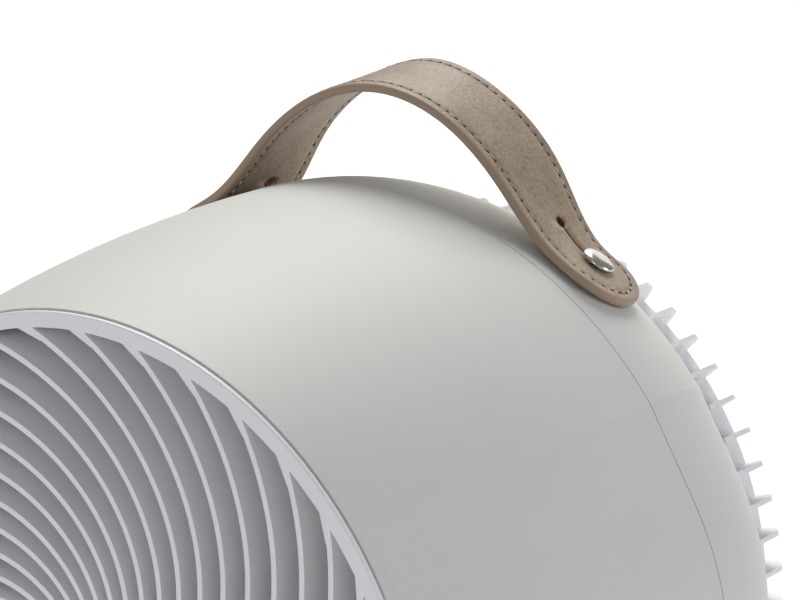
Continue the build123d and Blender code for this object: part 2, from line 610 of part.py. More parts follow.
def windings():
    """Coil heads at both ends of the stack, joined through the slots."""
    coils = tube(STATOR_FRONT_Y - 7, STATOR_FRONT_Y, 30, 23.5) + tube(STATOR_REAR_Y, STATOR_REAR_Y + 7, 30, 23.5)
    coils = fillet(coils.edges().filter_by(GeomType.CIRCLE).group_by(Axis.Y)[0], 2)
    coils = fillet(coils.edges().filter_by(GeomType.CIRCLE).group_by(Axis.Y)[-1], 2)
    for k in range(12):
        coils += around(k * 30, block(-2.4, 2.4, STATOR_FRONT_Y - 1, STATOR_REAR_Y + 1, 23.6, 28.8))
    return coils


def motor_bushes():
    """Two bronze bushes the shaft runs in."""
    return [tube(MOTOR_FRONT_Y + 2, MOTOR_FRONT_Y + 9, BUSH_RADIUS, SHAFT_RADIUS + RUNNING),
            tube(CUP_FLOOR_Y - 9, CUP_FLOOR_Y - 2, BUSH_RADIUS, SHAFT_RADIUS + RUNNING)]


def motor_screws():
    """Four long screws that clamp the bells on the stator."""
    return [screw(MOTOR_FRONT_Y, CUP_FLOOR_Y - 4, SCREW_RADIUS, 2.6, 1.8, polar(THROUGH_CIRCLE, angle))
            for angle in THROUGH_ANGLES]


def mount_screws():
    """Four short screws from the hub cup into the rear bell."""
    return [screw(CUP_FLOOR_Y + FLOOR_WALL, CUP_FLOOR_Y - 6, SCREW_RADIUS, 2.8, 1.8, polar(MOUNT_CIRCLE, angle))
            for angle in MOUNT_ANGLES]


def motor_shaft():
    """Shaft with the cross hole for the drive pin."""
    shaft = tube(IMPELLER_Y - 20, CUP_FLOOR_Y - 5, SHAFT_RADIUS)
    return shaft - Pos(0, PIN_Y, 0) * Rot(0, 90, 0) * Cylinder(1.26, 20)


def rotor_core():
    """Squirrel-cage rotor pressed on the shaft."""
    core = tube(STATOR_FRONT_Y, STATOR_REAR_Y, ROTOR_RADIUS, SHAFT_RADIUS)
    for y in (STATOR_FRONT_Y - 3, STATOR_REAR_Y):
        core += tube(y, y + 3, ROTOR_RADIUS - 1, ROTOR_RADIUS - 6)
    return core


def drive_pin():
    """Cross pin that turns the impeller."""
    return Pos(0, PIN_Y, 0) * Rot(0, 90, 0) * Cylinder(1.25, 14)


def blade_section(radius, chord, pitch):
    """Thin cambered outline of a blade at one radius, in a plane square to the blade."""
    along = Vector(cos(radians(pitch)), sin(radians(pitch)), 0)
    across = Vector(-along.Y, along.X, 0)

    def at(u, v):
        return Vector(0, IMPELLER_Y, radius) + along * (u * chord / 2) + across * v

    camber, half = chord * 0.06, BLADE_THICK / 2
    return Wire([ThreePointArc(at(-1, half), at(0, camber + half), at(1, half)), Line(at(1, half), at(1, -half)),
                 ThreePointArc(at(1, -half), at(0, camber - half), at(-1, -half)), Line(at(-1, -half), at(-1, half))])


def impeller():
    """Five-bladed axial impeller with a cup-shaped hub."""
    front_y, rear_y = IMPELLER_Y - 14, IMPELLER_Y + 14
    hub = tube(front_y, rear_y, IMPELLER_HUB, IMPELLER_HUB - 2.5) + tube(front_y, front_y + 3, IMPELLER_HUB)
    hub += tube(front_y, rear_y - 2, SHAFT_RADIUS + 4)
    for k in range(BLADE_COUNT):
        hub += around(k * 360 / BLADE_COUNT, block(-1, 1, front_y + 2, rear_y - 4, 6, IMPELLER_HUB - 1))
    hub -= tube(front_y - 1, rear_y, SHAFT_RADIUS + 0.01)
    hub -= block(-9, 9, PIN_Y - 1.3, rear_y, -1.3, 1.3)
    stations = ((IMPELLER_HUB - 1.5, 34, 40), (58, 58, 31), (BLADE_TIP + 2, 72, 24))
    blade = Solid.make_loft([blade_section(*station) for station in stations])
    blade = blade & tube(IMPELLER_Y - 40, IMPELLER_Y + 40, BLADE_TIP)
    return hub + [around(k * 360 / BLADE_COUNT, blade) for k in range(BLADE_COUNT)]


def blade_nut():
    """Domed nut that holds the impeller on the shaft."""
    y = IMPELLER_Y - 14.1
    nut = tube(y - 9, y, 11)
    nut = fillet(nut.edges().filter_by(GeomType.CIRCLE).sort_by(Axis.Y)[:1], 4)
    for k in range(6):
        nut -= around(k * 60, tube(y - 10, y - 1.5, 1.6, at=(0, 11.6)))
    return nut - tube(y - 6.2, y + 1, SHAFT_RADIUS + 0.01)


# ---- strap and its studs ------------------------------------------------------------------
def strap_edge(y, heights):
    """Closed band in the plane at y: the strap's outer line and, one thickness below it, its inner line."""
    half = [Vector(x, y, z) for x, z in zip(STRAP_XS, heights)]
    for angle in STRAP_END_ANGLES:
        x, z = polar(STRAP_END_RADIUS + STRAP_TILT * y, angle)
        half.append(Vector(x, y, z))
    outer = Spline(*[Vector(-p.X, p.Y, p.Z) for p in reversed(half[1:])] + half)
    below = []
    for k in range(STRAP_STEPS + 1):
        along = outer % (k / STRAP_STEPS)
        below.append((outer @ (k / STRAP_STEPS)) + Vector(along.Z, 0, -along.X) * STRAP_THICK)
    inner = Spline(*below)
    return Wire([outer, Line(outer @ 1, inner @ 1), inner, Line(inner @ 0, outer @ 0)])


def strap_handle():
    """Arched carrying strap with rounded ends that lie on the drum, and a hole for each stud."""
    half = STRAP_WIDTH / 2
    band = Solid.make_loft([strap_edge(-half, STRAP_FRONT_HEIGHTS), strap_edge(half, STRAP_REAR_HEIGHTS)], True)
    keep = block(-STUD_X, STUD_X, -half - 1, half + 1, 60, 160)
    for side in (-1, 1):
        keep += stud_cylinder(side, -12, 14, half)
    strap = band & keep
    for side in (-1, 1):
        strap -= stud_cylinder(side, -12, 14, STUD_NECK + 0.3)
    return strap


def strap_studs():
    """Two button studs: a neck through the strap and the shell, and a domed head over the strap."""
    studs = []
    for side in (-1, 1):
        head = stud_cylinder(side, STUD_HEAD_LOW, STUD_HEAD_LOW + 2.0, STUD_HEAD)
        head = fillet(head.faces().sort_by(Axis.Z)[-1].edges(), 0.8)
        neck = stud_cylinder(side, -5.8, STUD_HEAD_LOW + 0.5, STUD_NECK)
        studs.append(head + neck - stud_cylinder(side, -7, 2.0, 1.2))
    return studs


def stud_washers():
    """Two washers inside the shell, under the stud screws."""
    return [stud_cylinder(side, -7.0, -6.0, 5) - stud_cylinder(side, -8, -5, 1.4) for side in (-1, 1)]


def stud_screws():
    """Two screws that draw the studs down from inside."""
    return [stud_cylinder(side, -8.8, -7.0, 2.6) + stud_cylinder(side, -7.1, 1.5, 1.15) for side in (-1, 1)]


# ---- the whole fan ------------------------------------------------------------------------
def place(shape):
    """From the drum's frame to the table: feet on z = 0, and the origin under the middle of the fan."""
    return Pos(0, -(FRONT_Y + KNOB_REAR_Y) / 2, AXIS_HEIGHT) * shape


def write(name, shape):
    """One STEP file for a node; a list is a group of separate solids."""
    pieces = shape if isinstance(shape, list) else [shape]
    solids = [solid for piece in pieces for solid in place(piece).solids()]
    export_step(Compound(children=solids) if len(solids) > 1 else solids[0], f"parts/{name}.step")


SINGLE_PIECES = (base_cover, base_screws, rubber_feet, front_grille, air_duct, housing_screws, rear_grille,
                 grille_screws, hub_cover, cover_screws, speed_knob, switch_shaft, rotary_switch,
                 run_capacitor, terminal_block, supply_lead, cord_gland, motor_front_bell, motor_rear_bell,
                 stator_core, windings, motor_bushes, motor_screws, mount_screws, motor_shaft, rotor_core,
                 drive_pin, impeller, blade_nut, strap_handle, strap_studs, stud_washers, stud_screws)


def main():
    os.makedirs("parts", exist_ok=True)
    whole = housing_whole()
    write("front_housing", front_housing(whole))
    write("rear_housing", rear_housing(whole))
    for make in SINGLE_PIECES:
        write(make.__name__, make())


if __name__ == "__main__":
    main()
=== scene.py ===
import json
from math import cos, hypot, pi, radians, sin

import bmesh
import bpy
import numpy as np
from bpy.props import FloatProperty, FloatVectorProperty, PointerProperty
from mathutils import Matrix, Vector


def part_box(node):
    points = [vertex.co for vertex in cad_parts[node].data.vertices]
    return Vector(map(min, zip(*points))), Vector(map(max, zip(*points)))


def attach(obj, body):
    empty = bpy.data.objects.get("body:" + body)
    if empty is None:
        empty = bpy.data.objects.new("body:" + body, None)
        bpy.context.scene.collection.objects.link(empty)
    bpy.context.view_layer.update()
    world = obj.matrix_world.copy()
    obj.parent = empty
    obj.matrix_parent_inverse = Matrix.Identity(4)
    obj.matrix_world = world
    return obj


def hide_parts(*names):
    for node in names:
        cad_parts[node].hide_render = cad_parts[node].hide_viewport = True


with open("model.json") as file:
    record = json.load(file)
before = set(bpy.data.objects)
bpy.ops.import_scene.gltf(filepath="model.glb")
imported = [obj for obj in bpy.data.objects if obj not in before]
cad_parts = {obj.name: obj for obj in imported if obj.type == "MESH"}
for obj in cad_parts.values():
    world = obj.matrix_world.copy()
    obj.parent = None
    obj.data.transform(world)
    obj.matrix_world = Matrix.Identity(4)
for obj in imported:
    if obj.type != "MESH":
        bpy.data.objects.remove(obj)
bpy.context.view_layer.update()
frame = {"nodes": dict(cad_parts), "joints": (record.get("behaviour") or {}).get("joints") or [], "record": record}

bl_info = {
    "name": "Drum fan with leather strap",
    "version": (1, 0, 0),
    "blender": (4, 5, 0),
    "location": "View3D > Sidebar > Drum fan",
    "description": "Finishes, strap, studs and studio for a drum-shaped table fan",
    "category": "Object",
}

MM = 0.001
WAVE_LENGTH = 2 * pi / 20      # metres from crest to crest in a wave texture of scale 1
SPIN_AXIS = next(j for j in frame["joints"] if j["name"] == "impeller_spin")["pos_m"]
STRAP_LOW, STRAP_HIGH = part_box("strap_handle")
AXIS_HEIGHT = SPIN_AXIS[2]
STRAP_MIDDLE = (STRAP_LOW.y + STRAP_HIGH.y) / 2

# The strap's run, in millimetres from the fan's axis and the strap's middle, as the CAD part draws it.
STRAP_XS = (0.0, 22.0, 42.0)
STRAP_FRONT_HEIGHTS = (142.9, 137.4, 121.5)
STRAP_REAR_HEIGHTS = (146.0, 139.0, 120.2)
STRAP_END_ANGLES = (29.0, 35.0, 41.5)
STRAP_END_RADIUS = 117.1
STRAP_TILT = -0.19
STUD_X = 60.9
STUD_DRUM_RADIUS = 113.63      # the shell's radius under the strap's middle
STUD_HEAD_LOW = 3.9            # underside of the stud's head above the shell
STUD_CLEARANCE = 0.4           # air between the strap's outer face and the stud's head
LINE_STEPS = 1200              # steps in which the strap's run is stored
FINE_STEPS = 4001              # points from which those even steps are read

# The strap's section and its holes, in millimetres.
EDGE_ROUNDING = 1.1            # how far in from the outline the face starts to fall
EDGE_POWER = 2.4               # shape of the rounded edge: 2 is a circle, more is squarer
EDGE_RINGS = (0.1, 0.3, 0.6, 0.9, 1.15)
GROOVE_HALF_WIDTH = 0.5
GROOVE_FLOOR = 0.2
GROOVE_REACH = 0.3             # points nearer than this to the seam's line are pressed in
GROOVE_DEPTH = 0.22
GROOVE_BORDER = 2.5            # last ring, this far inside the seam
BEND_STEP = 2.0                # length of one flat facet along the bent strap
RIBS_ACROSS = (-5.0, 0.0, 5.0)
CUTTER_HEIGHT = 6.0
CUTTER_SIDES = 24
STUD_HOLE_RADIUS = 2.5
SLIT_END_GAP = 2.0             # the slit runs into the stud's hole and stops this far from its middle
SLOT_WALL_DEPTH = 2.5          # faces further in than this from the outline are cut leather

# Half sizes of one stitch and of one dark patch of painted shade at a needle hole: along the seam, across it, and
# in height.
STITCH_HALF_SIZE = (1.15, 0.40, 0.26)
HOLE_SHADE_HALF_SIZE = (0.52, 0.46, 0.24)
STITCH_SINK = 0.08
HOLE_SHADE_SINK = 0.06
STITCH_SLANT = 7.0             # degrees off the seam's line


# ---- small helpers --------------------------------------------------------------------------
def linear(text):
    """sRGB hex to linear red, green, blue, alpha."""
    values = [int(text[k:k + 2], 16) / 255 for k in (1, 3, 5)]
    return [v / 12.92 if v <= 0.04045 else ((v + 0.055) / 1.055) ** 2.4 for v in values] + [1.0]


def add(tree, kind, settings=None, links=None):
    """Add a node, set its sockets or properties by name, and link its inputs."""
    node = tree.nodes.new(kind)
    for name, value in (settings or {}).items():
        if isinstance(name, int) or name in node.inputs:
            node.inputs[name].default_value = value
        else:
            setattr(node, name, value)
    for name, source in (links or {}).items():
        tree.links.new(source, node.inputs[name])
    return node


def new_material(name, settings):
    """Material with one Principled shader; returns it with its tree, shader and object coordinates."""
    material = bpy.data.materials.new(name)
    material.use_nodes = True
    tree = material.node_tree
    tree.nodes.clear()
    shader = add(tree, "ShaderNodeBsdfPrincipled", settings)
    add(tree, "ShaderNodeOutputMaterial", links={"Surface": shader.outputs["BSDF"]})
    place = add(tree, "ShaderNodeTexCoord").outputs["Object"]
    return material, tree, shader, place


def wire(tree, node, links):
    """Link outputs to a node's inputs by name."""
    for name, source in links.items():
        tree.links.new(source, node.inputs[name])


def shade(colour, share):
    """The colour with its light scaled by share."""
    return [channel * share for channel in colour[:3]] + [1.0]


# ---- finishes -------------------------------------------------------------------------------
def moulded_plastic(name, colour, roughness, grain_mm=0.5, depth_mm=0.012):
    """Injection-moulded plastic: an even body colour, a fine spark-eroded grain and a soft satin gloss."""
    material, tree, shader, place = new_material(name, {"IOR": 1.5})
    # Broad flow clouds, a few per cent deep, keep large faces from looking painted.
    cloud = add(tree, "ShaderNodeTexNoise", {"Scale": 1 / (38 * MM), "Detail": 3.0}, {"Vector": place})
    body = add(tree, "ShaderNodeMix", {"data_type": "RGBA", 6: shade(colour, 0.95), 7: shade(colour, 1.02)},
               {0: cloud.outputs["Fac"]})
    # The tool's grain breaks the highlight up into a satin glow.
    grain = add(tree, "ShaderNodeTexNoise", {"Scale": 1 / (grain_mm * MM), "Detail": 3.0}, {"Vector": place})
    gloss = add(tree, "ShaderNodeMapRange", {"To Min": roughness - 0.05, "To Max": roughness + 0.05},
                {"Value": grain.outputs["Fac"]})
    relief = add(tree, "ShaderNodeBump", {"Distance": depth_mm * MM}, {"Height": grain.outputs["Fac"]})
    wire(tree, shader, {"Base Color": body.outputs[2], "Roughness": gloss.outputs["Result"],
                        "Normal": relief.outputs["Normal"]})
    return material


def satin_abs(colours):
    """ABS moulded in a fine-grained tool: warm white, with a broad soft highlight."""
    return moulded_plastic("satin_moulded_abs", colours.shell, 0.56)


def white_abs(colours):
    """ABS of the grilles: a brighter, cooler white with thin edges that take the light."""
    return moulded_plastic("white_moulded_abs", colours.grille, 0.42, 0.4, 0.006)


def knob_abs(colours):
    """ABS of the knob, moulded a little glossier so that its ribs catch the light."""
    return moulded_plastic("knob_moulded_abs", colours.knob, 0.34)


def blade_polypropylene(colours):
    """Polypropylene blades: waxy, pale grey."""
    return moulded_plastic("moulded_polypropylene", colours.blades, 0.45)


def foot_rubber(colours):
    """Moulded rubber: near black, dry and slightly uneven."""
    return moulded_plastic("moulded_rubber", colours.rubber, 0.75, 0.8, 0.03)


def black_nylon(colours):
    """Moulded nylon of the switch, the capacitor's case and the gland: black with a dull shine."""
    return moulded_plastic("moulded_black_nylon", colours.black_nylon, 0.5, 0.5, 0.01)


def natural_nylon(colours):
    """Undyed nylon of the terminal block: milky and slightly yellow."""
    return moulded_plastic("natural_nylon", colours.natural_nylon, 0.4)


def pvc_sheath(colours):
    """Extruded PVC of the inner lead: smooth and dark."""
    return moulded_plastic("extruded_pvc", colours.sheath, 0.38, 1.2, 0.004)


def worked_metal(name, colour, roughness, grain_mm=0.6):
    """Turned or pressed metal: fine marks and a patchy sheen where the plating varies."""
    material, tree, shader, place = new_material(name, {"Metallic": 1.0})
    patches = add(tree, "ShaderNodeTexNoise", {"Scale": 1 / (6 * MM), "Detail": 3.0}, {"Vector": place})
    body = add(tree, "ShaderNodeMix", {"data_type": "RGBA", 6: shade(colour, 0.75), 7: shade(colour, 1.05)},
               {0: patches.outputs["Fac"]})
    # Marks drawn out along one axis read as turning or rolling lines.
    drawn = add(tree, "ShaderNodeMapping", {"Scale": (1, 8, 1)}, {"Vector": place})
    marks = add(tree, "ShaderNodeTexNoise", {"Scale": 1 / (grain_mm * MM)},
                {"Vector": drawn.outputs["Vector"]})
    gloss = add(tree, "ShaderNodeMapRange", {"To Min": roughness - 0.07, "To Max": roughness + 0.09},
                {"Value": marks.outputs["Fac"]})
    relief = add(tree, "ShaderNodeBump", {"Distance": 0.006 * MM}, {"Height": marks.outputs["Fac"]})
    wire(tree, shader, {"Base Color": body.outputs[2], "Roughness": gloss.outputs["Result"],
                        "Normal": relief.outputs["Normal"]})
    return material


def zinc_steel(colours):
    """Zinc-plated pressed steel of the motor: grey with a faint blue sheen."""
    return worked_metal("zinc_plated_steel", colours.zinc, 0.38)


def screw_steel(colours):
    """Bright zinc-plated screws: small, crisp glints."""
    return worked_metal("zinc_plated_screw_steel", colours.screws, 0.3, 0.3)


def turned_brass(colours):
    """Turned brass of the switch spindle: yellow with a bright sheen."""
    return worked_metal("turned_brass", colours.brass, 0.3, 0.3)


def sintered_bronze(colours):
    """Oil-soaked sintered bronze of the bushes: dull and speckled."""
    return worked_metal("sintered_bronze", colours.bronze, 0.5, 0.4)


def enamelled_copper(colours):
    """Varnished copper winding wire: reddish, with dark lines of painted shade in the grooves between its turns.
    They are drawn 5 mm apart, far coarser than the real wire, so that they show."""
    material, tree, shader, place = new_material("enamelled_copper_wire",
                                                 {"Metallic": 1.0, "Roughness": 0.32})
    turns = add(tree, "ShaderNodeTexWave", {"Scale": WAVE_LENGTH / (5.03 * MM), "Distortion": 1.5,
                                            "wave_type": "RINGS", "rings_direction": "Y"}, {"Vector": place})
    # Painted shade: the copper is darkened to 40% in the grooves between turns.
    body = add(tree, "ShaderNodeMix", {"data_type": "RGBA", 6: shade(colours.copper, 0.4), 7: colours.copper},
               {0: turns.outputs["Fac"]})
    relief = add(tree, "ShaderNodeBump", {"Distance": 0.15 * MM}, {"Height": turns.outputs["Fac"]})
    wire(tree, shader, {"Base Color": body.outputs[2], "Normal": relief.outputs["Normal"]})
    return material


def polished_nickel(colours):
    """Polished nickel plate of the stud heads: warm silver that mirrors the softbox, hair-fine wear."""
    material, tree, shader, place = new_material("polished_nickel_plate", {"Metallic": 1.0})
    drawn = add(tree, "ShaderNodeMapping", {"Scale": (1, 1, 6)}, {"Vector": place})
    wear = add(tree, "ShaderNodeTexNoise", {"Scale": 1 / (1.4 * MM), "Detail": 4.0},
               {"Vector": drawn.outputs["Vector"]})
    body = add(tree, "ShaderNodeMix", {"data_type": "RGBA", 6: shade(colours.nickel, 0.85),
                                       7: colours.nickel}, {0: wear.outputs["Fac"]})
    gloss = add(tree, "ShaderNodeMapRange", {"To Min": 0.14, "To Max": 0.28}, {"Value": wear.outputs["Fac"]})
    wire(tree, shader, {"Base Color": body.outputs[2], "Roughness": gloss.outputs["Result"]})
    return material


def pebbled_leather(settings):
    """Milled, pebbled leather with a painted edge: rounded pebbles 1 mm across, with painted shade darkening the
    gaps between them.
    """
    material, tree, shader, place = new_material(
        "pebbled_leather", {"Roughness": 0.5, "IOR": 1.48, "Sheen Weight": 0.12, "Sheen Roughness": 0.5})
    pebbles = add(tree, "ShaderNodeTexVoronoi", {"Scale": 1 / (0.95 * MM), "feature": "SMOOTH_F1"},
                  {"Vector": place}).outputs["Distance"]
    creases = add(tree, "ShaderNodeTexNoise", {"Scale": 1 / (0.45 * MM), "Detail": 3.0}, {"Vector": place})
    # Dye takes unevenly over patches about a finger's width across.
    patches = add(tree, "ShaderNodeTexNoise", {"Scale": 1 / (9 * MM), "Detail": 4.0}, {"Vector": place})
    uneven = add(tree, "ShaderNodeMapRange", {"From Min": 0.3, "From Max": 0.7},
                 {"Value": patches.outputs["Fac"]})
    body = add(tree, "ShaderNodeMix", {"data_type": "RGBA", 6: settings.leather_deep,
                                       7: settings.leather_pale}, {0: uneven.outputs["Result"]})
    # Painted shade: the dye is mixed towards a darker brown in the gaps between the pebbles.
    valleys = add(tree, "ShaderNodeMapRange", {"From Min": 0.35, "From Max": 0.75, "To Max": 0.6},
                  {"Value": pebbles})
    grained = add(tree, "ShaderNodeMix", {"data_type": "RGBA", 7: settings.pebble_valley_shade},
                  {0: valleys.outputs["Result"], 6: body.outputs[2]})
    # The attribute holds the distance from the strap's edge in millimetres, so the paint stops in a line.
    rim = add(tree, "ShaderNodeAttribute", {"attribute_name": "rim"})
    paint = add(tree, "ShaderNodeMapRange", {"From Min": 0.75, "From Max": 1.05, "To Min": 1.0,
                                             "To Max": 0.0}, {"Value": rim.outputs["Fac"]})
    painted = paint.outputs["Result"]
    coloured = add(tree, "ShaderNodeMix", {"data_type": "RGBA", 7: settings.edge_paint},
                   {0: painted, 6: grained.outputs[2]})
    height = add(tree, "ShaderNodeMix", {"data_type": "FLOAT", 0: 0.3},
                 {2: pebbles, 3: creases.outputs["Fac"]})
    flat = add(tree, "ShaderNodeMix", {"data_type": "FLOAT", 3: 0.5}, {0: painted, 2: height.outputs[0]})
    relief = add(tree, "ShaderNodeBump", {"Distance": 0.16 * MM, "invert": True}, {"Height": flat.outputs[0]})
    wire(tree, shader, {"Base Color": coloured.outputs[2], "Normal": relief.outputs["Normal"]})
    return material


def raw_leather(settings):
    """Cut leather inside the slots: red-brown fibres that the dye doesn't reach."""
    material, tree, shader, place = new_material("cut_leather_fibre", {"Roughness": 0.8})
    drawn = add(tree, "ShaderNodeMapping", {"Scale": (1, 1, 4)}, {"Vector": place})
    fibres = add(tree, "ShaderNodeTexNoise", {"Scale": 1 / (0.4 * MM), "Detail": 4.0},
                 {"Vector": drawn.outputs["Vector"]}).outputs["Fac"]
    body = add(tree, "ShaderNodeMix", {"data_type": "RGBA", 6: shade(settings.leather_cut, 0.45),
                                       7: settings.leather_cut}, {0: fibres})
    relief = add(tree, "ShaderNodeBump", {"Distance": 0.05 * MM}, {"Height": fibres})
    wire(tree, shader, {"Base Color": body.outputs[2], "Normal": relief.outputs["Normal"]})
    return material


def waxed_thread(settings):
    """Waxed polyester sewing thread: its twist shows as slanting bands of painted shade, drawn 3 mm apart, about
    one to a stitch, because the real twist is too fine to show."""
    material, tree, shader, place = new_material("waxed_thread", {"Roughness": 0.55})
    twist = add(tree, "ShaderNodeTexWave", {"Scale": WAVE_LENGTH / (3.14 * MM), "Distortion": 1.0,
                                            "bands_direction": "DIAGONAL"}, {"Vector": place}).outputs["Fac"]
    # Painted shade: the thread colour is halved in the grooves of the twist.
    body = add(tree, "ShaderNodeMix", {"data_type": "RGBA", 6: shade(settings.thread, 0.5),
                                       7: settings.thread}, {0: twist})
    relief = add(tree, "ShaderNodeBump", {"Distance": 0.05 * MM}, {"Height": twist})
    wire(tree, shader, {"Base Color": body.outputs[2], "Normal": relief.outputs["Normal"]})
    return material


def stitch_hole_shade(settings):
    """Painted shade for a needle hole: a near-black leather colour on a small patch, standing in for the shade
    inside the hole, which makes the stitch line read as dashes.
    """
    material, tree, shader, place = new_material("painted_shade_in_stitch_holes", {"Roughness": 0.9})
    fibres = add(tree, "ShaderNodeTexNoise", {"Scale": 1 / (0.3 * MM)}, {"Vector": place})
    # Painted shade: the cut-leather colour darkened to a tenth and a quarter.
    body = add(tree, "ShaderNodeMix", {"data_type": "RGBA", 6: shade(settings.leather_cut, 0.1),
                                       7: shade(settings.leather_cut, 0.25)}, {0: fibres.outputs["Fac"]})
    wire(tree, shader, {"Base Color": body.outputs[2]})
    return material


def pale_paper():
    """Studio paper: white, matt and faintly mottled, with a little light of its own to keep it even."""
    material, tree, shader, place = new_material(
        "pale_paper_floor", {"Roughness": 0.9, "Emission Color": (1, 1, 1, 1), "Emission Strength": 0.10})
    fibres = add(tree, "ShaderNodeTexNoise", {"Scale": 1 / (200 * MM)}, {"Vector": place})
    body = add(tree, "ShaderNodeMix", {"data_type": "RGBA", 6: linear("#f0f0f0"), 7: linear("#f7f7f7")},
               {0: fibres.outputs["Fac"]})
    wire(tree, shader, {"Base Color": body.outputs[2]})
    return material


SLOT_FINISHES = {
    "shell_plastic": satin_abs, "grille_plastic": white_abs, "knob_plastic": knob_abs,
    "blade_plastic": blade_polypropylene, "foot_rubber": foot_rubber, "black_plastic": black_nylon,
    "clear_nylon": natural_nylon, "lead_pvc": pvc_sheath, "brass_parts": turned_brass,
    "zinc_steel": zinc_steel, "enamelled_copper": enamelled_copper, "bronze_parts": sintered_bronze,
    "screw_steel": screw_steel, "polished_nickel": polished_nickel,
}


# ---- the strap's shape ----------------------------------------------------------------------
def smooth_line(points, count):
    """Natural cubic through the points, as count evenly spaced points and the line's length."""
    points = np.array(points, float)
    t = np.concatenate([[0.0], np.cumsum(np.linalg.norm(np.diff(points, axis=0), axis=1))])
    n, h = len(points), np.diff(t)
    system, right = np.eye(n), np.zeros_like(points)
    for i in range(1, n - 1):
        system[i, i - 1:i + 2] = h[i - 1], 2 * (h[i - 1] + h[i]), h[i]
        right[i] = 6 * ((points[i + 1] - points[i]) / h[i] - (points[i] - points[i - 1]) / h[i - 1])
    bend = np.linalg.solve(system, right)
    fine = np.linspace(0, t[-1], FINE_STEPS)
    k = np.clip(np.searchsorted(t, fine) - 1, 0, n - 2)
    a, b, step = (t[k + 1] - fine)[:, None], (fine - t[k])[:, None], h[k][:, None]
    line = (bend[k] * a ** 3 + bend[k + 1] * b ** 3) / (6 * step)
    line += (points[k] / step - bend[k] * step / 6) * a + (points[k + 1] / step - bend[k + 1] * step / 6) * b
    run = np.concatenate([[0.0], np.cumsum(np.linalg.norm(np.diff(line, axis=0), axis=1))])
    even = np.linspace(0, run[-1], count)
    return np.stack([np.interp(even, run, line[:, c]) for c in range(3)], 1), run[-1]


class StrapForm:
    """Bends flat strap coordinates (along, across, height, in millimetres) onto the arch."""

    def __init__(self, width):
        self.half = width / 2
        edges = []
        for y, heights in ((-self.half, STRAP_FRONT_HEIGHTS), (self.half, STRAP_REAR_HEIGHTS)):
            right = [(x, y, z) for x, z in zip(STRAP_XS, heights)]
            radius = STRAP_END_RADIUS + STRAP_TILT * y
            right += [(radius * sin(radians(a)), y, radius * cos(radians(a))) for a in STRAP_END_ANGLES]
            edges.append(smooth_line([(-x, yy, z) for x, yy, z in reversed(right[1:])] + right,
                                     LINE_STEPS + 1))
        (self.front, front_length), (self.rear, rear_length) = edges
        self.length = (front_length + rear_length) / 2
        middle = (self.front + self.rear) / 2
        height = STUD_HEAD_LOW - STUD_CLEARANCE
        lean = STUD_X / STUD_DRUM_RADIUS
        stud = np.array([STUD_X + lean * height, 0, (STUD_DRUM_RADIUS ** 2 - STUD_X ** 2) ** 0.5
                         + (1 - lean ** 2) ** 0.5 * height])
        nearest = int(np.argmin(np.linalg.norm(middle - stud, axis=1)))
        self.stud_along = (nearest / LINE_STEPS - 0.5) * self.length
        self.stud_across = -STRAP_TILT * height

    def rows(self, along):
        """Front and rear edge points at distances along the strap."""
        k = np.clip(np.asarray(along) / self.length + 0.5, 0, 1) * LINE_STEPS
        steps = np.arange(LINE_STEPS + 1)
        return [np.stack([np.interp(k, steps, line[:, c]) for c in range(3)], 1)
                for line in (self.front, self.rear)]

    def bend(self, flat):
        """Points in the row frame, in metres, for flat points measured down from the outer face."""
        flat = np.asarray(flat, float)
        share = ((flat[:, 1] + self.half) / (2 * self.half))[:, None]
        front, rear = self.rows(flat[:, 0])
        ahead_front, ahead_rear = self.rows(flat[:, 0] + 0.5)
        back_front, back_rear = self.rows(flat[:, 0] - 0.5)
        point = front + (rear - front) * share
        ahead = ahead_front + (ahead_rear - ahead_front) * share
        back = back_front + (back_rear - back_front) * share
        along = ahead - back
        normal = np.cross(along, rear - front)
        normal /= np.linalg.norm(normal, axis=1)[:, None]
        normal *= np.sign(normal[:, 2:3])
        bent = point + normal * flat[:, 2:3]
        bent += np.array([0, STRAP_MIDDLE / MM, AXIS_HEIGHT / MM])
        return bent * MM


def edge_distance(form, along, across):
    """Distance in from the strap's outline, in millimetres."""
    return form.half - hypot(max(abs(along) - form.stud_along, 0.0), across)


def finish_mesh(bm, name, materials, smooth=True):
    """Object from a bmesh, linked to the scene and sitting at the origin."""
    mesh = bpy.data.meshes.new(name)
    bm.to_mesh(mesh)
    bm.free()
    for material in materials:
        mesh.materials.append(material)
    if smooth:
        mesh.shade_smooth()
    made = bpy.data.objects.new(name, mesh)
    bpy.context.scene.collection.objects.link(made)
    return made


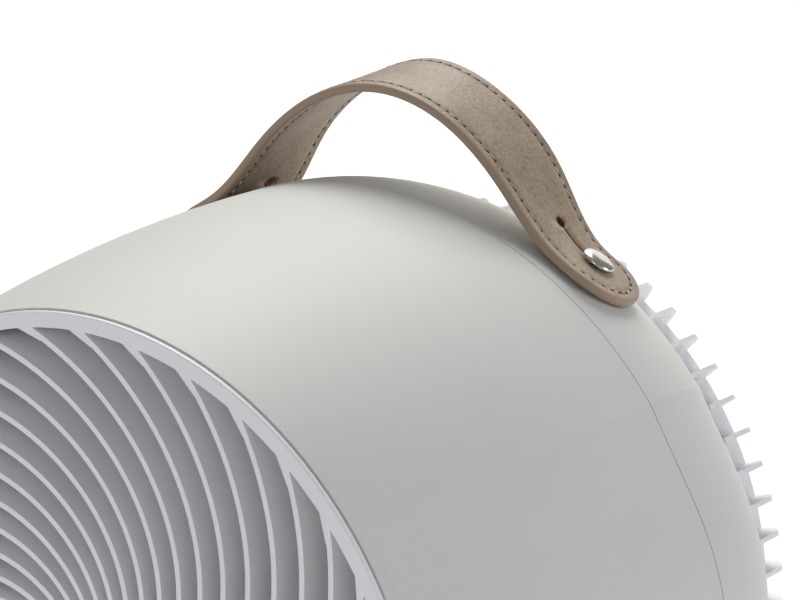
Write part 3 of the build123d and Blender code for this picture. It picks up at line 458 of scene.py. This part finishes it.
def strap_slab(form, settings):
    """The strap laid flat: a stadium outline, rings for its rounded edge and stitch groove, both faces."""
    bm = bmesh.new()
    around, thick = 72, settings.thickness / MM
    bmesh.ops.create_circle(bm, cap_ends=True, radius=form.half, segments=around,
                            matrix=Matrix.Rotation(pi / around, 4, "Z"))
    for vert in bm.verts:
        vert.co.x += form.stud_along if vert.co.x > 0 else -form.stud_along
    bm.faces.ensure_lookup_table()
    middle, inset = bm.faces[0], settings.stitch_inset / MM
    rings = (*EDGE_RINGS, inset - GROOVE_HALF_WIDTH, inset - GROOVE_FLOOR, inset + GROOVE_FLOOR,
             inset + GROOVE_HALF_WIDTH, inset + GROOVE_BORDER)
    for low, high in zip((0.0,) + rings, rings):
        bmesh.ops.inset_region(bm, faces=[middle], thickness=high - low, use_even_offset=True,
                               use_boundary=True)
    reach = form.stud_along + form.half
    for k in range(int(reach / BEND_STEP)):
        for along in {k * BEND_STEP, -k * BEND_STEP}:
            bmesh.ops.bisect_plane(bm, geom=bm.verts[:] + bm.edges[:] + bm.faces[:],
                                   plane_co=(along, 0, 0), plane_no=(1, 0, 0))
    for across in RIBS_ACROSS:
        bmesh.ops.bisect_plane(bm, geom=bm.verts[:] + bm.edges[:] + bm.faces[:],
                               plane_co=(0, across, 0), plane_no=(0, 1, 0))
    for vert in bm.verts:
        inside = edge_distance(form, vert.co.x, vert.co.y)
        fall = max(0.0, 1 - inside / EDGE_ROUNDING)
        height = 0.0 if vert.is_boundary else thick / 2 * (1 - fall ** EDGE_POWER) ** (1 / EDGE_POWER)
        if abs(inside - inset) < GROOVE_REACH:
            height -= GROOVE_DEPTH
        vert.co.z = height
    bmesh.ops.mirror(bm, geom=bm.verts[:] + bm.edges[:] + bm.faces[:], merge_dist=1e-3, axis="Z")
    bmesh.ops.recalc_face_normals(bm, faces=bm.faces[:])
    return bm


def slot_cutter(form, radius, along_from, along_to):
    """Upright cutters at both ends: a round hole, or a slit when along_to differs from along_from."""
    bm = bmesh.new()
    for side in (-1, 1):
        made = bmesh.ops.create_circle(bm, cap_ends=True, radius=radius, segments=CUTTER_SIDES,
                                       matrix=Matrix.Rotation(pi / CUTTER_SIDES, 4, "Z"))["verts"]
        for vert in made:
            vert.co.x += along_to if vert.co.x > 0 else along_from
            vert.co.x = side * vert.co.x
            vert.co.y += form.stud_across
            vert.co.z = -CUTTER_HEIGHT
    walls = bmesh.ops.extrude_face_region(bm, geom=bm.faces[:])["geom"]
    bmesh.ops.translate(bm, verts=[g for g in walls if isinstance(g, bmesh.types.BMVert)],
                        vec=(0, 0, 2 * CUTTER_HEIGHT))
    bmesh.ops.recalc_face_normals(bm, faces=bm.faces[:])
    return finish_mesh(bm, "cutter", [], False)


def bend_onto_arch(made, form, drop):
    """Move a flat mesh's vertices, drawn about the strap's mid-thickness, onto the arch."""
    flat = np.array([v.co for v in made.data.vertices], float).reshape(-1, 3)
    flat[:, 2] -= drop
    made.data.vertices.foreach_set("co", form.bend(flat).astype(np.float32).ravel())
    made.data.update()


def build_strap(settings):
    """The leather strap with its rounded edge, stitch groove and button slots."""
    form = StrapForm(settings.width / MM)
    strap = finish_mesh(strap_slab(form, settings), "strap_leather",
                        [pebbled_leather(settings), raw_leather(settings)])
    hole = form.stud_along - settings.slot_length / MM
    cutters = [slot_cutter(form, settings.slot_hole / MM / 2, hole, hole),
               slot_cutter(form, settings.slit_width / MM / 2, hole, form.stud_along - SLIT_END_GAP),
               slot_cutter(form, STUD_HOLE_RADIUS, form.stud_along, form.stud_along)]
    for cutter in cutters:
        cut = strap.modifiers.new("slot", "BOOLEAN")
        cut.object, cut.operation, cut.solver = cutter, "DIFFERENCE", "EXACT"
    evaluated = strap.evaluated_get(bpy.context.evaluated_depsgraph_get())
    mesh = bpy.data.meshes.new_from_object(evaluated)
    strap.modifiers.clear()
    strap.data = mesh
    for cutter in cutters:
        bpy.data.objects.remove(cutter)
    rim = mesh.attributes.new("rim", "FLOAT", "POINT")
    rim.data.foreach_set("value", [edge_distance(form, v.co.x, v.co.y) if abs(v.co.z) < 5 else 0.0
                                   for v in mesh.vertices])
    for face in mesh.polygons:
        depth = edge_distance(form, face.center.x, face.center.y)
        if abs(face.normal.z) < 0.3 and depth > SLOT_WALL_DEPTH:
            face.material_index = 1
        face.use_smooth = face.material_index == 0
    bend_onto_arch(strap, form, settings.thickness / MM / 2)
    bm = bmesh.new()
    bm.from_mesh(mesh)
    bmesh.ops.recalc_face_normals(bm, faces=bm.faces[:])
    bm.to_mesh(mesh)
    bm.free()
    return strap, form


def stadium_point(run, straight, turn, radius, reach):
    """Point and direction at a distance round a stadium's outline."""
    if run < straight:
        return run - reach, -radius, 0.0
    run -= straight
    if run < turn:
        angle = run / radius - pi / 2
        return reach + radius * cos(angle), radius * sin(angle), angle + pi / 2
    run -= turn
    if run < straight:
        return reach - run, radius, pi
    angle = (run - straight) / radius + pi / 2
    return -reach + radius * cos(angle), radius * sin(angle), angle + pi / 2


def build_stitching(form, settings):
    """Every stitch as a thread loop lying in the groove, with a dark patch of painted shade for the needle hole at
    its end, on both faces.
    """
    bm = bmesh.new()
    radius = form.half - settings.stitch_inset / MM
    straight, turn = 2 * form.stud_along, pi * radius
    count = round((2 * straight + 2 * turn) / (settings.stitch_pitch / MM))
    pitch = (2 * straight + 2 * turn) / count
    face_height = settings.thickness / MM / 2 - STITCH_SINK
    for k in range(count):
        # The second shape of each stitch is a dark patch: painted shade where the needle hole is.
        for offset, is_shade_patch in ((0.0, False), (0.5, True)):
            run = (k + offset) * pitch
            along, across, angle = stadium_point(run, straight, turn, radius, form.stud_along)
            size = HOLE_SHADE_HALF_SIZE if is_shade_patch else STITCH_HALF_SIZE
            sink = HOLE_SHADE_SINK if is_shade_patch else 0.0
            slant = 0.0 if is_shade_patch else radians(STITCH_SLANT)
            for face in (-1, 1):
                matrix = (Matrix.Translation((along, across, face * (face_height - sink)))
                          @ Matrix.Rotation(angle + slant * face, 4, "Z") @ Matrix.Diagonal((*size, 1)))
                made = bmesh.ops.create_uvsphere(bm, u_segments=6, v_segments=5, radius=1, matrix=matrix)
                for part in {f for v in made["verts"] for f in v.link_faces}:
                    part.material_index = 1 if is_shade_patch else 0
    stitches = finish_mesh(bm, "strap_stitching", [waxed_thread(settings), stitch_hole_shade(settings)])
    bend_onto_arch(stitches, form, settings.thickness / MM / 2)
    return stitches


def stud_matrix(side):
    """Frame on the shell at one stud, its Z axis leaving square to the strap, in millimetres."""
    up = Vector((side * STUD_X, 0, (STUD_DRUM_RADIUS ** 2 - STUD_X ** 2) ** 0.5)) / STUD_DRUM_RADIUS
    base = up * STUD_DRUM_RADIUS + Vector((0, STRAP_MIDDLE / MM, AXIS_HEIGHT / MM))
    turn = (up + Vector((0, -STRAP_TILT, 0))).to_track_quat("Z", "Y").to_matrix().to_4x4()
    return Matrix.Translation(base) @ turn


def build_studs(settings, colours):
    """Both button studs: a waisted neck, a thin rolled rim and a low domed head, turned as one profile."""
    radius, height = settings.head_diameter / MM / 2, settings.head_height / MM
    low = STUD_HEAD_LOW
    profile = [(0.0, -5.8), (2.2, -5.8), (2.2, low - 1.2), (1.7, low - 0.5), (1.9, low), (radius - 0.5, low),
               (radius - 0.12, low + 0.12), (radius, low + 0.42), (radius - 0.08, low + 0.75),
               (radius - 0.45, low + 1.05), (radius * 0.72, low + height * 0.78),
               (radius * 0.4, low + height * 0.95), (0.0, low + height)]
    bm = bmesh.new()
    for side in (-1, 1):
        line = [bm.verts.new((r, 0, z)) for r, z in profile]
        edges = [bm.edges.new(pair) for pair in zip(line, line[1:])]
        bmesh.ops.spin(bm, geom=line + edges, axis=(0, 0, 1), cent=(0, 0, 0), angle=2 * pi, steps=64,
                       use_merge=True)
        turned = {v for v in bm.verts if not v.tag}
        bmesh.ops.transform(bm, matrix=Matrix.Scale(MM, 4) @ stud_matrix(side), verts=list(turned))
        for vert in turned:
            vert.tag = True
    bmesh.ops.remove_doubles(bm, verts=bm.verts[:], dist=1e-6)
    bmesh.ops.recalc_face_normals(bm, faces=bm.faces[:])
    return finish_mesh(bm, "strap_button_studs", [polished_nickel(colours)])


# ---- settings -------------------------------------------------------------------------------
def colour_property(name, description, text):
    """Colour setting whose default is given as sRGB hex."""
    return FloatVectorProperty(name=name, description=description, default=linear(text), size=4,
                               min=0.0, max=1.0, subtype="COLOR")


class FinishSettings(bpy.types.PropertyGroup):
    shell: colour_property("Shell", "Plastic of both housings", "#d6d6d0")
    grille: colour_property("Grilles", "Plastic of both grilles", "#eeeeef")
    knob: colour_property("Knob", "Plastic of the speed knob", "#d9dadb")
    blades: colour_property("Blades", "Plastic of the impeller", "#b9bcc4")
    rubber: colour_property("Rubber", "Rubber of the feet", "#2b2b2b")
    black_nylon: colour_property("Black nylon", "Switch, capacitor and gland", "#262626")
    natural_nylon: colour_property("Undyed nylon", "Terminal block", "#e6e1d2")
    sheath: colour_property("Sheath", "Inner lead", "#2a2a2c")
    zinc: colour_property("Zinc plate", "Motor and brackets", "#b4b7bb")
    screws: colour_property("Screws", "Screw plating", "#c8c9c9")
    brass: colour_property("Brass", "Switch spindle", "#d9b56a")
    bronze: colour_property("Bronze", "Motor bushes", "#b48a55")
    copper: colour_property("Copper", "Enamelled winding", "#b8683a")
    nickel: colour_property("Nickel", "Stud heads", "#e3ddd3")


class StrapSettings(bpy.types.PropertyGroup):
    width: FloatProperty(name="Width", description="Width of the strap", default=0.030, unit="LENGTH")
    thickness: FloatProperty(name="Thickness", description="Both layers together", default=0.0026,
                             unit="LENGTH")
    stitch_inset: FloatProperty(name="Stitch inset", description="Stitch line from the edge",
                                default=0.0033, unit="LENGTH")
    stitch_pitch: FloatProperty(name="Stitch pitch", description="Length of one stitch", default=0.0033,
                                unit="LENGTH")
    slot_length: FloatProperty(name="Slot length", description="Button slot from the stud to its round end",
                               default=0.0155, unit="LENGTH")
    slot_hole: FloatProperty(name="Slot hole", description="Diameter of the slot's round end", default=0.0036,
                             unit="LENGTH")
    slit_width: FloatProperty(name="Slit width", description="Width of the slot's slit", default=0.0008,
                              unit="LENGTH")
    leather_deep: colour_property("Leather, deep", "Darker patches of the dye", "#958169")
    leather_pale: colour_property("Leather, pale", "Lighter patches of the dye", "#a8947c")
    # Colour of the painted shade in the gaps between the pebbles.
    pebble_valley_shade: colour_property("Leather, valleys", "Between the pebbles", "#77664f")
    leather_cut: colour_property("Leather, cut", "Undyed leather in the slots", "#8a5434")
    edge_paint: colour_property("Edge paint", "Paint on the strap's edge", "#a08b74")
    thread: colour_property("Thread", "Waxed sewing thread", "#d0c1ac")


class StudSettings(bpy.types.PropertyGroup):
    head_diameter: FloatProperty(name="Head", description="Diameter of the head", default=0.0098,
                                 unit="LENGTH")
    head_height: FloatProperty(name="Dome", description="Height of the head", default=0.0019, unit="LENGTH")


class StudioSettings(bpy.types.PropertyGroup):
    azimuth: FloatProperty(name="Azimuth", description="Camera's turn about the fan", default=radians(36.01),
                           subtype="ANGLE")
    elevation: FloatProperty(name="Elevation", description="Camera's height angle", default=radians(14.33),
                             subtype="ANGLE")
    distance: FloatProperty(name="Distance", description="Camera's distance from its target", default=0.9,
                            unit="LENGTH")
    target: FloatVectorProperty(name="Target", description="Point that the camera looks at",
                                default=(-0.0022, 0.0417, 0.2129), subtype="TRANSLATION", unit="LENGTH")
    focal_length: FloatProperty(name="Focal length", description="Lens in millimetres on a 36 mm sensor",
                                default=144.0)
    floor_reach: FloatProperty(name="Floor", description="Half the floor's width", default=6.0, unit="LENGTH")


# ---- operators ------------------------------------------------------------------------------
class FAN_OT_finishes(bpy.types.Operator):
    """Give every CAD node the finish of its material slot."""
    bl_idname = "fan.finishes"
    bl_label = "Finishes"

    def execute(self, context):
        made, colours = {}, context.scene.fan_finishes
        for part in frame["record"]["subparts"]:
            slot, node = part["material_slot"], frame["nodes"][part["node"]]
            if slot not in SLOT_FINISHES:
                continue
            if slot not in made:
                made[slot] = SLOT_FINISHES[slot](colours)
            node.data.materials.clear()
            node.data.materials.append(made[slot])
        return {"FINISHED"}


class FAN_OT_strap(bpy.types.Operator):
    """Make the leather strap and its stitching."""
    bl_idname = "fan.strap"
    bl_label = "Leather strap"

    def execute(self, context):
        settings = context.scene.fan_strap
        strap, form = build_strap(settings)
        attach(strap, "housing")
        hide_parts("strap_handle")
        stitches = build_stitching(form, settings)
        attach(stitches, "housing")
        return {"FINISHED"}


class FAN_OT_studs(bpy.types.Operator):
    """Make the two nickel button studs."""
    bl_idname = "fan.studs"
    bl_label = "Button studs"

    def execute(self, context):
        studs = build_studs(context.scene.fan_studs, context.scene.fan_finishes)
        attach(studs, "housing")
        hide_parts("strap_studs")
        return {"FINISHED"}


def area_light(name, place, aim, size, power, colour="#ffffff"):
    """Soft square light at a place, aimed at a point."""
    data = bpy.data.lights.new(name, "AREA")
    data.shape, data.size, data.energy = "SQUARE", size, power
    data.color = linear(colour)[:3]
    lamp = bpy.data.objects.new(name, data)
    lamp.location = place
    lamp.rotation_euler = (Vector(aim) - Vector(place)).to_track_quat("-Z", "Y").to_euler()
    bpy.context.scene.collection.objects.link(lamp)


class FAN_OT_studio(bpy.types.Operator):
    """Make the pale floor, the soft lights and the camera."""
    bl_idname = "fan.studio"
    bl_label = "Studio"

    def execute(self, context):
        settings, scene = context.scene.fan_studio, context.scene
        bm = bmesh.new()
        bmesh.ops.create_grid(bm, x_segments=8, y_segments=8, size=settings.floor_reach)
        finish_mesh(bm, "floor", [pale_paper()])
        world = bpy.data.worlds.new("studio_air")
        world.use_nodes = True
        background = world.node_tree.nodes["Background"]
        background.inputs["Color"].default_value = linear("#f4f6ff")
        background.inputs["Strength"].default_value = 0.26
        scene.world = world
        # A soft box behind and above gives the broad glow on top, and cards fill the sides.
        aim = (0, 0, 0.15)
        area_light("back_overhead_softbox", (-1.1, 1.6, 2.8), aim, 2.0, 88, "#fffefa")
        area_light("back_card", (-0.6, 2.6, 1.1), aim, 1.6, 7, "#fffefa")
        area_light("left_fill", (-1.8, -1.1, 1.5), aim, 0.8, 7, "#fffefa")
        area_light("camera_side_fill", (0.6, -2.0, 0.9), aim, 0.8, 4.5, "#f7f8ff")
        area_light("back_right", (1.9, 0.9, 0.7), aim, 0.8, 10, "#f7f8ff")
        camera = bpy.data.objects.new("camera", bpy.data.cameras.new("camera"))
        camera.data.lens, camera.data.sensor_width = settings.focal_length, 36.0
        camera.data.clip_start, camera.data.clip_end = 0.01, 50
        az, el = settings.azimuth, settings.elevation
        back = Vector((sin(az) * cos(el), -cos(az) * cos(el), sin(el)))
        camera.location = Vector(settings.target) + back * settings.distance
        camera.rotation_euler = (-back).to_track_quat("-Z", "Y").to_euler()
        scene.collection.objects.link(camera)
        scene.camera = camera
        scene.view_settings.view_transform = "Standard"
        return {"FINISHED"}


class FAN_PT_pieces(bpy.types.Panel):
    """Sidebar panel that lists the fan's operators and sizes."""
    bl_idname = "FAN_PT_pieces"
    bl_label = "Drum fan"
    bl_space_type = "VIEW_3D"
    bl_region_type = "UI"
    bl_category = "Drum fan"

    def draw(self, context):
        for operator in OPERATORS:
            self.layout.operator(operator.bl_idname)
        for name in SETTINGS:
            group = getattr(context.scene, name)
            for key in group.bl_rna.properties.keys():
                if key not in ("rna_type", "name"):
                    self.layout.prop(group, key)


OPERATORS = (FAN_OT_finishes, FAN_OT_strap, FAN_OT_studs, FAN_OT_studio)
SETTINGS = {"fan_finishes": FinishSettings, "fan_strap": StrapSettings, "fan_studs": StudSettings,
            "fan_studio": StudioSettings}


def register():
    for group in SETTINGS.values():
        bpy.utils.register_class(group)
    for name, group in SETTINGS.items():
        setattr(bpy.types.Scene, name, PointerProperty(type=group))
    for item in (*OPERATORS, FAN_PT_pieces):
        bpy.utils.register_class(item)


def unregister():
    for item in (FAN_PT_pieces, *OPERATORS):
        bpy.utils.unregister_class(item)
    for name, group in SETTINGS.items():
        delattr(bpy.types.Scene, name)
        bpy.utils.unregister_class(group)


def main():
    """Make every piece in order."""
    register()
    for operator in OPERATORS:
        group, name = operator.bl_idname.split(".")
        getattr(getattr(bpy.ops, group), name)()


if __name__ == "__main__":
    main()
